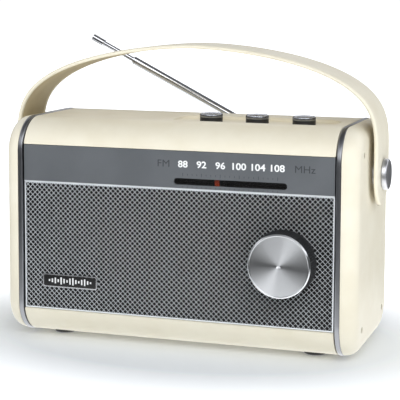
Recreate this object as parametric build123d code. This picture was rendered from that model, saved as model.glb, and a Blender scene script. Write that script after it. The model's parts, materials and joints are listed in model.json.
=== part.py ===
from build123d import *
import math
import os

# Tabletop FM radio with a carrying handle: every separate piece is one STEP file.
# Millimetres, +Z up, the front looks towards -Y, +X is the listener's right.
# The origin is the middle of the footprint, on the table.

# ---- cabinet
cabinet_depth = 124.0
cabinet_height = 172.6
corner_radius = 26.8
foot_height = 3.0
sleeve_half = 125.0
sleeve_wall = 4.5
shadow_gap = 0.7
trim_width = 4.0
trim_proud = 0.4
trim_depth = 6.5
cap_outer = 142.0
cap_edge_radius = 12.0
cap_wall = 3.0
screw_boss = 9.0
screw_boss_length = 18.0
screw_recess = 3.2
foot_radius = 9.0
foot_x = 104.0
foot_y = 28.0

# ---- how far the tuning knob and the antenna knuckle stand out of the cabinet
knob_reach = 15.6
rear_reach = 8.6
middle_y = (knob_reach - rear_reach) / 2
front_y = middle_y - cabinet_depth / 2
rear_y = middle_y + cabinet_depth / 2
middle_z = foot_height + cabinet_height / 2
top_z = foot_height + cabinet_height
trim_start = sleeve_half + shadow_gap
trim_end = trim_start + trim_width

# ---- front
window_low = 24.9
window_high = 155.5
dial_low = 126.1
panel_gap = 0.3
panel_half = sleeve_half - panel_gap
dial_front = front_y + 1.4
grille_front = front_y + 1.9
baffle_front = front_y + 3.2
baffle_back = front_y + 7.5
slot_left = 0.0
slot_right = 88.8
slot_middle_z = 132.0
slot_height = 5.0
window_half_height = 4.6
pointer_slot_half = 3.2
badge_x = -85.8
badge_z = 48.4
badge_width = 45.8
badge_height = 10.4

# ---- tuning
knob_x = 87.1
knob_z = 75.3
knob_radius = 23.85
knob_flare = 1.1
face_thickness = 2.0
shaft_radius = 3.0
running_gap = 0.05
drum_radius = 15.3
cord_thickness = 0.8
cord_y = front_y + 15.6
guide_post_radius = 3.9
guide_left_x = -9.0
guide_right_x = 99.0
pointer_x = 33.4
blade_half_width = 1.6
carriage_half_width = 5.0
rail_radius = 1.2
rail_y = front_y + 11.5

# ---- top controls
control_xs = {"volume": 13.6, "tone": 51.1, "band": 88.6}
control_y = middle_y - 10.0
control_radius = 9.0
control_shaft_radius = 2.5
recess_depth = 2.6
recess_x = 51.0
recess_y = middle_y - 11.0
recess_width = 130.0
recess_length = 42.0
recess_corner = 12.0
recess_floor = top_z - recess_depth
knob_split_z = recess_floor + 3.7
knob_top_z = 180.0

# ---- speaker
speaker_x = -32.0
speaker_z = 75.5
speaker_hole = 42.0

# ---- rear
rear_half = 116.0
rear_low = 33.0
rear_high = 147.0
cover_back = rear_y - 1.0
cover_front = cover_back - 2.6
bay_left = -66.0
bay_right = 54.0
bay_low = 38.0
bay_high = 96.0
bay_depth = 31.0
cell_radius = 13.0
cell_length = 50.0
jack_x = 92.0
jack_z = 92.0
jack_bore = 1.8
jack_depth = 14.0
inlet_x = 92.0
inlet_z = 58.0

# ---- antenna
antenna_x = 69.1
antenna_z = 139.5
antenna_y = rear_y + 4.4
antenna_rise = 27.0
tube_mouth = 168.3
rod_drawn = 30.0
tip_length = 11.5

# ---- handle
handle_half = 149.0
handle_spring_z = 153.0
handle_crown_z = 234.0
handle_side_power = 1.72
handle_top_power = 3.2
handle_width = 48.0
handle_thickness = 3.2
pivot_z = 136.5
pivot_pin_radius = 4.0
pivot_head = 4.3

wire_radius = 0.7
cap_screw_y = 39.2
cap_screw_z = 65.9
screw_radius = 1.5


def block(x0, x1, y0, y1, z0, z1):
    """A box given by its limits."""
    centre = Pos((x0 + x1) / 2, (y0 + y1) / 2, (z0 + z1) / 2)
    return centre * Box(x1 - x0, y1 - y0, z1 - z0)


def rod_x(x0, x1, y, z, radius):
    """A cylinder along X."""
    return extrude(Plane.YZ.offset(x0) * Pos(y, z) * Circle(radius), x1 - x0)


def rod_y(y0, y1, x, z, radius):
    """A cylinder along Y."""
    return Pos(x, (y0 + y1) / 2, z) * Rot(90, 0, 0) * Cylinder(radius, y1 - y0)


def rod_z(z0, z1, x, y, radius):
    """A cylinder along Z."""
    return Pos(x, y, (z0 + z1) / 2) * Cylinder(radius, z1 - z0)


def turned_y(points, x, z):
    """A solid turned about a line along Y; each point is (radius, y)."""
    outline = make_face(Polyline(*points, close=True))
    return Pos(x, 0, z) * revolve(outline, Axis.Y, 360)


def cabinet_prism(inset, x0, x1):
    """The cabinet's rounded side outline, shrunk by inset and run from x0 to x1."""
    outline = RectangleRounded(
        cabinet_depth - 2 * inset,
        cabinet_height - 2 * inset,
        corner_radius - inset,
    )
    return extrude(Plane.YZ.offset(x0) * Pos(middle_y, middle_z) * outline, x1 - x0)


def round_ends(prism, radius):
    """Round both end rims of a prism that runs along X."""
    ends = prism.faces().sort_by(Axis.X)
    return fillet(ends[0].edges() + ends[-1].edges(), radius)


def mirrored(solid):
    """The left-hand twin of a right-hand piece."""
    return mirror(solid, Plane.YZ)


def cap_screw_places():
    """The four (y, z) places of the screws in an end cap."""
    return [
        (middle_y + side * cap_screw_y, middle_z + level * cap_screw_z)
        for side in (-1, 1)
        for level in (-1, 1)
    ]


def save(name, solid):
    """Write one piece, or a group of like pieces, as its own STEP file."""
    export_step(solid, f"parts/{name}.step")


# ------------------------------------------------------------------ cabinet
def cabinet_sleeve():
    sleeve = round_ends(cabinet_prism(0, -sleeve_half, sleeve_half), 0.8)
    sleeve -= cabinet_prism(sleeve_wall, -sleeve_half, sleeve_half)
    for y, z in cap_screw_places():
        outward = 1 if z > middle_z else -1
        z0, z1 = sorted((z - outward * screw_boss, z + outward * (corner_radius + 3)))
        for end in (-1, 1):
            x0, x1 = sorted((end * (sleeve_half - screw_boss_length), end * sleeve_half))
            corner = block(x0, x1, y - screw_boss, y + screw_boss, z0, z1)
            sleeve += corner & cabinet_prism(sleeve_wall / 2, -sleeve_half, sleeve_half)
            sleeve -= rod_x(x0, x1, y, z, screw_radius)
    half = sleeve_half + 1
    sleeve -= block(-half, half, front_y - 1, front_y + 12, window_low, window_high)
    sleeve -= block(-rear_half, rear_half, rear_y - 12, rear_y + 1, rear_low, rear_high)
    rims = [
        edge
        for edge in sleeve.edges().filter_by(Axis.X)
        if edge.length > 200 and edge.center().Y < front_y + 1.5
    ]
    sleeve = fillet(rims, 0.8)
    outline = RectangleRounded(recess_width, recess_length, recess_corner)
    dish = extrude(Pos(recess_x, recess_y, recess_floor) * outline, recess_depth + 3)
    dish = fillet(dish.faces().sort_by(Axis.Z)[0].edges(), 2.0)
    sleeve -= dish
    top_face = sleeve.faces().filter_by(Plane.XY).sort_by(Axis.Z)[-1]
    sleeve = fillet(top_face.inner_wires()[0].edges(), 0.9)
    for x in control_xs.values():
        sleeve -= rod_z(recess_floor - 5, recess_floor + 1, x, control_y, 3.7)
    return sleeve


def right_trim_band():
    ring = cabinet_prism(-trim_proud, trim_start, trim_end)
    ring = round_ends(ring, 1.2)
    ring -= cabinet_prism(trim_depth, trim_start - 1, trim_end + 1)
    for y, z in cap_screw_places():
        ring += rod_x(trim_start, trim_end, y, z, 5.0)
        outward = 1 if z > middle_z else -1
        z0, z1 = sorted((z, z + outward * 14))
        ring += block(trim_start, trim_end, y - 4, y + 4, z0, z1)
        ring -= rod_x(trim_start - 1, trim_end + 1, y, z, screw_radius)
    return ring


def right_end_cap():
    cap = cabinet_prism(0, trim_end, cap_outer)
    cap = fillet(cap.faces().sort_by(Axis.X)[-1].edges(), cap_edge_radius)
    hollow = cabinet_prism(cap_wall, trim_end - 1, cap_outer - cap_wall)
    hollow = fillet(hollow.faces().sort_by(Axis.X)[-1].edges(), cap_edge_radius - cap_wall)
    cap -= hollow
    for y, z in cap_screw_places():
        cap += rod_x(trim_end, cap_outer - 1, y, z, 4.5)
        cap -= rod_x(trim_end - 1, cap_outer + 1, y, z, screw_radius)
        cap -= rod_x(cap_outer - screw_recess, cap_outer + 1, y, z, 2.5)
    cap += rod_x(trim_end, cap_outer - 1, middle_y, pivot_z, 9.0)
    cap -= rod_x(trim_end - 1, cap_outer + 1, middle_y, pivot_z, pivot_pin_radius)
    return cap


def cap_screws():
    screws = []
    for end in (-1, 1):
        for y, z in cap_screw_places():
            x0, x1 = sorted((end * (sleeve_half - 12), end * (cap_outer - screw_recess)))
            shank = rod_x(x0, x1, y, z, screw_radius)
            x2, x3 = sorted((end * (cap_outer - screw_recess), end * (cap_outer - 1.0)))
            head = rod_x(x2, x3, y, z, 2.4)
            x4, x5 = sorted((end * (cap_outer - 1.8), end * cap_outer))
            slot = block(x4, x5, y - 0.35, y + 0.35, z - 1.7, z + 1.7)
            slot += block(x4, x5, y - 1.7, y + 1.7, z - 0.35, z + 0.35)
            screws.append((shank + head) - slot)
    return Compound(children=screws)


def rubber_feet():
    feet = []
    for x in (-1, 1):
        for y in (-1, 1):
            feet.append(rod_z(0, foot_height, x * foot_x, middle_y + y * foot_y, foot_radius))
    return Compound(children=feet)


# ------------------------------------------------------------------ front
def front_baffle():
    low = window_low + panel_gap
    high = window_high - panel_gap
    plate = block(-panel_half, panel_half, baffle_front, baffle_back, low, high)
    flange = cabinet_prism(sleeve_wall + 0.3, -panel_half, panel_half)
    flange &= block(-panel_half, panel_half, front_y + 4.8, baffle_back, 15, 165)
    baffle = plate + flange
    baffle -= rod_y(baffle_front - 1, baffle_back + 1, speaker_x, speaker_z, speaker_hole)
    z0 = slot_middle_z - window_half_height - 0.1
    z1 = slot_middle_z + window_half_height + 0.1
    baffle -= block(slot_left - 4, slot_right + 4, baffle_front - 1, baffle_front + 1, z0, z1)
    z0 = slot_middle_z - pointer_slot_half
    z1 = slot_middle_z + pointer_slot_half
    baffle -= block(slot_left - 1, slot_right + 1, baffle_front, baffle_back + 1, z0, z1)
    baffle += rod_y(baffle_back - 1, baffle_back + 4.5, knob_x, knob_z, 6.5)
    baffle -= rod_y(baffle_front - 1, baffle_back + 9, knob_x, knob_z, shaft_radius + running_gap)
    for x in (guide_left_x, guide_right_x):
        baffle += rod_y(baffle_back - 1, cord_y + 2, x, slot_middle_z, guide_post_radius)
        baffle += block(x - 4, x + 4, baffle_back - 1, rail_y + 2.6, 128, 136)
        rail_low = slot_left - 6
        rail_high = slot_right + 7
        baffle -= rod_x(rail_low, rail_high, rail_y, slot_middle_z, rail_radius)
    # a plate across the two posts, behind the pointer and its cord, hides the inside of the case
    y0 = cord_y + 1.2
    baffle += block(guide_left_x, guide_right_x, y0, y0 + 1.6, slot_middle_z - 13, slot_middle_z + 10)
    for level in (-1, 1):
        z = knob_z + level * 21
        baffle += rod_y(baffle_back - 1, front_y + 20, knob_x, z, 3.0)
    return baffle


def dial_panel():
    low = dial_low + 0.2
    high = window_high - panel_gap
    panel = block(-panel_half, panel_half, dial_front, baffle_front, low, high)
    middle = (slot_left + slot_right) / 2
    outline = SlotOverall(slot_right - slot_left, slot_height)
    slot = extrude(Plane.XZ * Pos(middle, slot_middle_z) * outline, 100, both=True)
    return panel - slot


def dial_window():
    z0 = slot_middle_z - window_half_height
    z1 = slot_middle_z + window_half_height
    return block(slot_left - 3.9, slot_right + 3.9, baffle_front, baffle_front + 1, z0, z1)


def grille_area(y0, y1):
    """The plate-shaped space below the dial panel, with room for the tuning shaft."""
    area = block(-panel_half, panel_half, y0, y1, window_low + panel_gap, dial_low)
    return area - rod_y(y0 - 1, y1 + 1, knob_x, knob_z, 5.0)


def badge_plate():
    shape = RectangleRounded(badge_width - 1.6, badge_height - 1.6, 0.9)
    return extrude(Plane.XZ.offset(-grille_front) * Pos(badge_x, badge_z) * shape, 1.2)


def badge_rim():
    rim = RectangleRounded(badge_width, badge_height, 1.6)
    rim -= RectangleRounded(badge_width - 1.6, badge_height - 1.6, 0.9)
    return extrude(Plane.XZ.offset(-grille_front) * Pos(badge_x, badge_z) * rim, 1.6)


# ------------------------------------------------------------------ tuning drive
def tuning_knob_base():
    """The black body of the knob, a little wider at its foot."""
    front = front_y - knob_reach + face_thickness
    profile = [
        (0, front),
        (knob_radius, front),
        (knob_radius + knob_flare, front_y - 1.0),
        (knob_radius + knob_flare, front_y + 0.7),
        (0, front_y + 0.7),
    ]
    base = turned_y(profile, knob_x, knob_z)
    return base - rod_y(front_y - 9, front_y + 2, knob_x, knob_z, shaft_radius)


def tuning_knob_face():
    """The spun disc on the knob's front, slightly dished inside a bevelled rim."""
    tip = front_y - knob_reach
    profile = [
        (0, tip + 0.7),
        (knob_radius - 1.6, tip + 0.3),
        (knob_radius - 1.2, tip),
        (knob_radius - 0.8, tip),
        (knob_radius, tip + 0.9),
        (knob_radius, tip + face_thickness),
        (0, tip + face_thickness),
    ]
    return turned_y(profile, knob_x, knob_z)


def tuning_shaft():
    return rod_y(front_y - 9, front_y + 31, knob_x, knob_z, shaft_radius)


def dial_drum():
    profile = [
        (shaft_radius, cord_y - 2.0),
        (drum_radius + 2.0, cord_y - 2.0),
        (drum_radius + 2.0, cord_y - 1.0),
        (drum_radius, cord_y - 0.6),
        (drum_radius, cord_y + 0.6),
        (drum_radius + 2.0, cord_y + 1.0),
        (drum_radius + 2.0, cord_y + 2.0),
        (shaft_radius, cord_y + 2.0),
    ]
    return turned_y(profile, knob_x, knob_z)


def belt_outline(grow):
    """The hull around the drum and the two guide posts, each grown a little."""
    rounds = [
        Pos(knob_x, knob_z) * Circle(drum_radius + grow),
        Pos(guide_left_x, slot_middle_z) * Circle(guide_post_radius + grow),
        Pos(guide_right_x, slot_middle_z) * Circle(guide_post_radius + grow),
    ]
    edges = [edge for disc in rounds for edge in disc.edges()]
    return make_hull(edges)


def dial_cord():
    loop = belt_outline(0.15 + cord_thickness) - belt_outline(0.15)
    return extrude(Plane.XZ.offset(-cord_y) * loop, cord_thickness / 2, both=True)


def pointer_rail():
    low = slot_left - 6
    high = slot_right + 7
    return rod_x(low, high, rail_y, slot_middle_z, rail_radius)


def dial_pointer():
    """The blade seen through the window, its carriage on the rail, and the tab on the cord."""
    z = slot_middle_z
    x0 = pointer_x - blade_half_width
    x1 = pointer_x + blade_half_width
    blade = block(x0, x1, baffle_front + 1.4, rail_y - 2, z - 2.6, z + 2.6)
    x0 = pointer_x - carriage_half_width
    x1 = pointer_x + carriage_half_width
    carriage = block(x0, x1, rail_y - 2.6, rail_y + 2.6, z - 4, z + 2.8)
    tab = block(pointer_x - 3, pointer_x + 3, rail_y, cord_y - 0.7, z + 2.0, z + 3.6)
    pointer = blade + carriage + tab
    return pointer - rod_x(pointer_x - 6, pointer_x + 6, rail_y, z, rail_radius + running_gap)


def tuning_capacitor():
    y0 = front_y + 20
    plate = block(knob_x - 12, knob_x + 12, y0, y0 + 1.6, knob_z - 25, knob_z + 25)
    case = block(knob_x - 12, knob_x + 12, y0 + 1.6, y0 + 18, knob_z - 12, knob_z + 12)
    trimmers = rod_y(y0 + 17, y0 + 19, knob_x - 6, knob_z - 6, 2.5)
    trimmers += rod_y(y0 + 17, y0 + 19, knob_x + 6, knob_z + 6, 2.5)
    capacitor = plate + case + trimmers
    return capacitor - rod_y(y0 - 1, front_y + 31.2, knob_x, knob_z, shaft_radius + running_gap)


# ------------------------------------------------------------------ top controls
def control_body(x):
    """A rotary control under the top: case, threaded neck and three tags."""
    case = rod_z(158, 167, x, control_y, 8.0)
    case += block(x - 8, x + 8, control_y - 14, control_y, 158, 160)
    neck = rod_z(166, recess_floor + 0.2, x, control_y, 3.6)
    for tag in (-5, 0, 5):
        case += block(x + tag - 0.6, x + tag + 0.6, control_y - 17, control_y - 13, 158.4, 159.2)
    body = case + neck
    return body - rod_z(160, 180, x, control_y, control_shaft_radius + running_gap)


def control_shaft(x):
    return rod_z(160.3, knob_split_z + 1.5, x, control_y, control_shaft_radius)


def control_knob(x):
    knob = rod_z(recess_floor + 0.4, knob_split_z, x, control_y, control_radius)
    return knob - rod_z(recess_floor - 1, knob_split_z + 1, x, control_y, control_shaft_radius)


def control_cap(x):
    outline = Pos(x, control_y, knob_split_z) * RegularPolygon(control_radius, 24)
    cap = extrude(outline, knob_top_z - knob_split_z)
    cap = chamfer(cap.faces().sort_by(Axis.Z)[-1].edges(), 0.9)
    cap -= rod_z(knob_split_z - 1, knob_split_z + 1.5, x, control_y, control_shaft_radius)
    mark = block(x - 0.5, x + 0.5, control_y - 7.5, control_y - 2, knob_top_z - 0.4, knob_top_z + 1)
    return cap - mark


# ------------------------------------------------------------------ speaker
def speaker_frame():
    y = baffle_back
    profile = [
        (41.0, y),
        (49.0, y),
        (49.0, y + 1.2),
        (42.5, y + 1.2),
        (40.5, y + 5.0),
        (24.0, y + 20.0),
        (24.0, y + 21.5),
        (12.0, y + 21.5),
        (12.0, y + 20.0),
        (22.5, y + 20.0),
        (39.0, y + 4.4),
    ]
    frame = turned_y(profile, speaker_x, speaker_z)
    for turn in range(6):
        angle = math.radians(30 + 60 * turn)
        x = speaker_x + 31.5 * math.cos(angle)
        z = speaker_z + 31.5 * math.sin(angle)
        frame -= rod_y(y + 6, y + 19, x, z, 6.0)
    return frame


def speaker_magnet():
    y = baffle_back + 21.5
    disc = rod_y(y, y + 3, speaker_x, speaker_z, 21.0)
    ring = rod_y(y + 3, y + 13, speaker_x, speaker_z, 25.0)
    back = rod_y(y + 13, y + 16, speaker_x, speaker_z, 21.0)
    return disc + ring + back


def speaker_cone():
    y = baffle_back
    profile = [
        (40.2, y + 0.4),
        (38.5, y - 0.6),
        (36.0, y + 0.4),
        (12.0, y + 15.0),
        (10.2, y + 16.5),
        (10.2, y + 19.5),
        (11.0, y + 19.5),
        (11.0, y + 17.0),
        (12.8, y + 15.6),
        (36.2, y + 1.3),
        (38.5, y + 0.3),
        (40.2, y + 1.2),
    ]
    return turned_y(profile, speaker_x, speaker_z)


def speaker_dust_cap():
    y = baffle_back + 14.2
    profile = [
        (0.0, y - 4.2),
        (5.0, y - 3.4),
        (9.0, y - 1.2),
        (11.2, y + 0.9),
        (10.2, y + 1.0),
        (8.4, y - 0.6),
        (4.7, y - 2.7),
        (0.0, y - 3.5),
    ]
    return turned_y(profile, speaker_x, speaker_z)


# ------------------------------------------------------------------ electronics
def main_board():
    board = block(-58, 60, front_y + 14, front_y + 92, 12.0, 13.6)
    for x in (-52, 54):
        for y in (front_y + 30, front_y + 84):
            board += rod_z(7.5, 12.0, x, y, 3.0)
    return board


def board_components():
    """Cans, coils and chips standing on the main board, as a group of separate solids."""
    parts = []
    cans = [(-40, 30, 6.0, 14), (-24, 44, 5.0, 12), (44, 30, 4.0, 9), (46, 46, 4.0, 9)]
    for x, depth, radius, height in cans:
        parts.append(rod_z(13.6, 13.6 + height, x, front_y + depth, radius))
    coils = [(-6, 28), (8, 28), (22, 28)]
    for x, depth in coils:
        can = block(x - 4, x + 4, front_y + depth - 4, front_y + depth + 4, 13.6, 23.0)
        parts.append(can - rod_z(21, 24, x, front_y + depth, 1.6))
    parts.append(block(-12, 12, front_y + 50, front_y + 58, 13.6, 17.2))
    parts.append(block(20, 38, front_y + 52, front_y + 60, 13.6, 17.2))
    sink = block(-52, -16, front_y + 62, front_y + 64, 13.6, 30)
    for fin in range(7):
        x = -52 + 5.7 * fin
        sink += block(x, x + 1.6, front_y + 64, front_y + 70, 13.6, 30)
    parts.append(sink)
    return Compound(children=parts)


def mains_transformer():
    core = block(74, 116, front_y + 50, front_y + 84, 14, 48)
    core -= block(82, 90, front_y + 49, front_y + 85, 20, 42)
    core -= block(100, 108, front_y + 49, front_y + 85, 20, 42)
    winding = block(83, 107, front_y + 44, front_y + 90, 21, 41)
    winding -= block(89.9, 100.1, front_y + 50, front_y + 84, 20, 42)
    winding &= block(82, 108, front_y + 43, front_y + 91, 20, 42)
    feet = block(66, 124, front_y + 58, front_y + 76, 7.5, 9.0)
    feet += block(74, 116, front_y + 58, front_y + 76, 7.5, 14)
    return core + winding + feet


def headphone_jack():
    y1 = cover_back
    case = block(jack_x - 5, jack_x + 5, cover_front - 14, cover_front, jack_z - 5, jack_z + 5)
    neck = rod_y(cover_front - 1, y1 + 0.3, jack_x, jack_z, 3.9)
    return (case + neck) - rod_y(y1 + 0.3 - jack_depth, y1 + 1, jack_x, jack_z, jack_bore)


def mains_inlet():
    y1 = cover_back + 0.3
    shape = SlotOverall(22, 14)
    lip = extrude(Plane.XZ.offset(-y1) * Pos(inlet_x, inlet_z) * shape, 1.3)
    case = extrude(Plane.XZ.offset(-y1) * Pos(inlet_x, inlet_z) * SlotOverall(21, 12.6), 22)
    body = lip + case
    well = SlotOverall(17.4, 8.6)
    body -= extrude(Plane.XZ.offset(-y1 - 1) * Pos(inlet_x, inlet_z) * well, 14)
    for side in (-1, 1):
        body += rod_y(y1 - 22, y1 - 3, inlet_x + side * 4.3, inlet_z, 1.2)
    return body


def wire(points):
    """A thin lead through its points, with the widest arc that each corner has room for."""
    corners = []
    for before, corner, after in zip(points, points[1:], points[2:]):
        arriving = Vector(*corner) - Vector(*before)
        leaving = Vector(*after) - Vector(*corner)
        half_turn = math.radians(arriving.get_angle(leaving)) / 2
        corners.append(0.45 * min(arriving.length, leaving.length) / math.tan(half_turn))
    path = FilletPolyline(*points, radius=corners)
    section = Plane(origin=path @ 0, z_dir=path % 0) * Circle(wire_radius)
    return sweep(section, path)


def wiring():
    """The speaker, battery and antenna leads inside the case."""
    y = front_y
    back = cover_front
    leads = [
        [(-2, y + 24, 40), (-2, y + 30, 30), (4, y + 36, 22), (4, y + 36, 13.9)],
        [(2, y + 24, 44), (5, y + 31, 32), (12, y + 38, 24), (12, y + 38, 13.9)],
        [(-50, back - 36, 60), (-50, back - 44, 48), (-46, back - 46, 30), (-46, back - 46, 13.9)],
        [(40, back - 36, 60), (42, back - 46, 50), (36, back - 48, 32), (32, back - 50, 13.9)],
        [(66, back - 7.5, 132), (68, back - 14, 112), (66, back - 16, 80), (60, back - 34, 60),
         (54, back - 44, 40), (50, back - 46, 13.9)],
    ]
    return Compound(children=[wire(points) for points in leads])


# ------------------------------------------------------------------ rear
def rear_cover():
    half = rear_half - 0.3
    low = rear_low + 0.3
    high = rear_high - 0.3
    cover = block(-half, half, cover_front, cover_back, low, high)
    lip = block(-half + 3, half - 3, cover_front - 6, cover_front, low + 3, high - 3)
    lip -= block(-half + 5, half - 5, cover_front - 7, cover_front + 1, low + 5, high - 5)
    cover += lip
    wall = 2.0
    bay_back = cover_back - bay_depth - wall
    bay = block(bay_left - wall, bay_right + wall, bay_back, cover_back, bay_low - wall, bay_high + wall)
    cover += bay
    cover -= block(bay_left, bay_right, bay_back + wall, cover_back + 1, bay_low, bay_high)
    door_seat = 1.5
    cover -= block(
        bay_left - 2.5,
        bay_right + 2.5,
        cover_back - door_seat,
        cover_back + 1,
        bay_low - 2.5,
        bay_high + 2.5,
    )
    for row in range(5):
        z = 106 + row * 5.5
        for column in range(14):
            x = -96 + column * 9.0
            cover -= block(x, x + 6, cover_front - 1, cover_back + 1, z, z + 2.2)
    cover -= rod_y(cover_front - 8, cover_back + 1, jack_x, jack_z, 4.0)
    cover -= extrude(
        Plane.XZ.offset(-cover_back - 1) * Pos(inlet_x, inlet_z) * SlotOverall(22.4, 14.4), 12
    )
    cover -= rod_y(cover_front - 8, cover_back + 1, antenna_x, antenna_z, 8.2) & block(
        -half, half, cover_front - 8, cover_back + 1, low, high
    )
    for x, z in cover_screw_places():
        cover -= rod_y(cover_front - 8, cover_back + 1, x, z, screw_radius)
        cover -= rod_y(cover_back - 1.4, cover_back + 1, x, z, 3.0)
    return cover


def cover_screw_places():
    corners = [(x, z) for x in (-108, 108) for z in (rear_low + 7, rear_high - 7)]
    return corners + [(0, rear_high - 7)]


def cover_screws():
    screws = []
    for x, z in cover_screw_places():
        shank = rod_y(cover_back - 12, cover_back - 1.4, x, z, screw_radius)
        head = rod_y(cover_back - 1.4, cover_back - 0.1, x, z, 2.8)
        slot = block(x - 2, x + 2, cover_back - 0.8, cover_back + 1, z - 0.35, z + 0.35)
        slot += block(x - 0.35, x + 0.35, cover_back - 0.8, cover_back + 1, z - 2, z + 2)
        screws.append((shank + head) - slot)
    return Compound(children=screws)


def battery_door():
    y0 = cover_back - 1.4
    door = block(bay_left - 2.2, bay_right + 2.2, y0, cover_back, bay_low - 2.2, bay_high + 2.2)
    middle = (bay_left + bay_right) / 2
    for line in range(5):
        z = bay_high - 4 - line * 1.8
        door -= block(middle - 9, middle + 9, cover_back - 0.5, cover_back + 1, z, z + 0.8)
    return door


def battery_cells():
    cells = []
    middle = (bay_left + bay_right) / 2
    y = cover_back - 1.4 - cell_radius - 1.2
    for z in (bay_low + 14.5, bay_high - 14.5):
        for side in (-1, 1):
            near = middle + side * 1.2
            far = near + side * (cell_length - 1.6)
            x0, x1 = sorted((near, far))
            cell = rod_x(x0, x1, y, z, cell_radius)
            n0, n1 = sorted((far, far + side * 1.6))
            cells.append(cell + rod_x(n0, n1, y, z, 3.2))
    return Compound(children=cells)


def battery_contacts():
    """Spring plates at both ends of the battery bay."""
    plates = []
    y = cover_back - 1.4 - cell_radius - 1.2
    for z in (bay_low + 14.5, bay_high - 14.5):
        for x0, tip in ((bay_left, bay_left + 6.2), (bay_right - 0.6, bay_right - 6.2)):
            plate = block(x0, x0 + 0.6, y - 8, y + 8, z - 8, z + 8)
            c0, c1 = sorted((x0 + 0.3, tip))
            spring = rod_x(c0, c1, y, z, 4.5)
            plates.append(plate + spring - rod_x(c0 - 9, c1 + 9, y, z, 3.6))
    return Compound(children=plates)


# ------------------------------------------------------------------ antenna
antenna_turn = math.radians(antenna_rise)
antenna_frame = Plane(
    origin=(antenna_x, antenna_y, antenna_z),
    x_dir=(-math.cos(antenna_turn), 0, math.sin(antenna_turn)),
    z_dir=(math.sin(antenna_turn), 0, math.cos(antenna_turn)),
)


def antenna_bar(start, end, radius):
    """A round bar on the antenna's own line, measured from the tilt pin."""
    bar = rod_x(start, end, 0, 0, radius)
    return antenna_frame.location * bar


def antenna_mount():
    collar = rod_y(cover_front - 5, cover_back + 0.2, antenna_x, antenna_z, 8.0)
    collar = collar & block(0, 120, cover_front - 5, cover_back + 0.2, rear_low, rear_high - 0.4)
    plate = block(antenna_x - 14, antenna_x + 14, cover_front - 6.6, cover_front - 5, 130, 141)
    collar += plate
    bore = rod_y(cover_front - 8, cover_back + 1, antenna_x, antenna_z, 3.0 + running_gap)
    return collar - bore


def antenna_swivel():
    pin = rod_y(cover_front - 7, rear_y - 0.4, antenna_x, antenna_z, 3.0)
    disc = rod_y(rear_y - 0.6, rear_y + 0.7, antenna_x, antenna_z, 6.5)
    ears = antenna_frame.location * block(-3.2, 3.2, -3.8, 4.0, -4.4, 4.4)
    ears -= antenna_frame.location * block(-9, 9, -9, 9, -1.6, 1.6)
    rounding = antenna_frame.location * Cylinder(4.0, 20)
    lower = antenna_frame.location * block(-4.4, 4.4, 0, 4.0, -5, 5)
    ears &= rounding + lower
    cross = antenna_frame.location * Cylinder(1.2, 8)
    return pin + disc + ears + cross


def antenna_tube_1():
    tongue = antenna_frame.location * (Cylinder(3.2, 3.0) + block(0, 8, -3.2, 3.2, -1.5, 1.5))
    tongue -= antenna_frame.location * Cylinder(1.2 + running_gap, 6)
    plug = antenna_bar(6.0, 11.0, 3.3)
    tube = antenna_bar(10.0, tube_mouth, 3.3) - antenna_bar(11.0, tube_mouth + 1, 2.9)
    return tongue + plug + tube


def antenna_section(start, end, outer, inner):
    """One drawn tube of the telescope."""
    return antenna_bar(start, end, outer) - antenna_bar(start - 1, end + 1, inner)


def antenna_rod():
    rod = antenna_bar(17 + rod_drawn, tube_mouth + 1 + rod_drawn, 2.0)
    start = tube_mouth + 1 + rod_drawn
    button = antenna_bar(start, start + tip_length, 2.8)
    button = chamfer(button.edges().filter_by(GeomType.CIRCLE), 0.4)
    return rod + button


# ------------------------------------------------------------------ handle
def handle_point(turn):
    """A point of the handle's outer face at a turn from 0 (right) to pi (left)."""
    side = math.cos(turn)
    rise = math.sin(turn)
    x = handle_half * math.copysign(abs(side) ** (2 / handle_side_power), side)
    z = handle_spring_z + (handle_crown_z - handle_spring_z) * rise ** (2 / handle_top_power)
    return x, z


def handle_arch(inset):
    """The arch line at a depth under the handle's outer face, as evenly turned points."""
    count = 48
    points = []
    for step in range(count + 1):
        turn = math.pi * step / count
        turn = turn - 0.16 * math.sin(2 * turn)
        x, z = handle_point(turn)
        ahead = handle_point(min(turn + 0.002, math.pi))
        behind = handle_point(max(turn - 0.002, 0.0))
        dx = ahead[0] - behind[0]
        dz = ahead[1] - behind[1]
        length = math.hypot(dx, dz)
        if step in (0, count):
            normal = (-math.copysign(1, x), 0)
        else:
            normal = (-dz / length, dx / length)
        points.append((x + inset * normal[0], z + inset * normal[1]))
    return points


def handle_layer(outer, inner, width):
    """One layer of the strap between two depths under its outer face."""
    outside = handle_arch(outer)
    inside = handle_arch(inner)
    sides = [
        Spline(*outside, tangents=[(0, 1), (0, -1)]),
        Line(outside[-1], inside[-1]),
        Spline(*inside, tangents=[(0, 1), (0, -1)]),
        Line(inside[0], outside[0]),
    ]
    arch = extrude(Plane.XZ.offset(-middle_y) * make_face(sides), width / 2, both=True)
    for end in (-1, 1):
        x0, x1 = sorted((end * (handle_half - outer), end * (handle_half - inner)))
        arm = block(x0, x1, middle_y - width / 2, middle_y + width / 2, pivot_z, handle_spring_z)
        arm += rod_x(x0, x1, middle_y, pivot_z, width / 2)
        arch += arm
        arch -= rod_x(x0 - 1, x1 + 1, middle_y, pivot_z, pivot_pin_radius + running_gap)
    return arch


def right_handle_pivot():
    """Spacer, pin and chrome head that the handle turns on."""
    inner_face = handle_half - handle_thickness
    spacer = rod_x(cap_outer, inner_face - 0.3, middle_y, pivot_z, 8.5)
    pin = rod_x(cap_outer - 10, handle_half + 1, middle_y, pivot_z, pivot_pin_radius)
    head = rod_x(handle_half + 0.3, handle_half + 0.3 + pivot_head, middle_y, pivot_z, 12.0)
    head = chamfer(head.edges().filter_by(GeomType.CIRCLE).sort_by(Axis.X)[-1], 1.2)
    return spacer + pin + head


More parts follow.
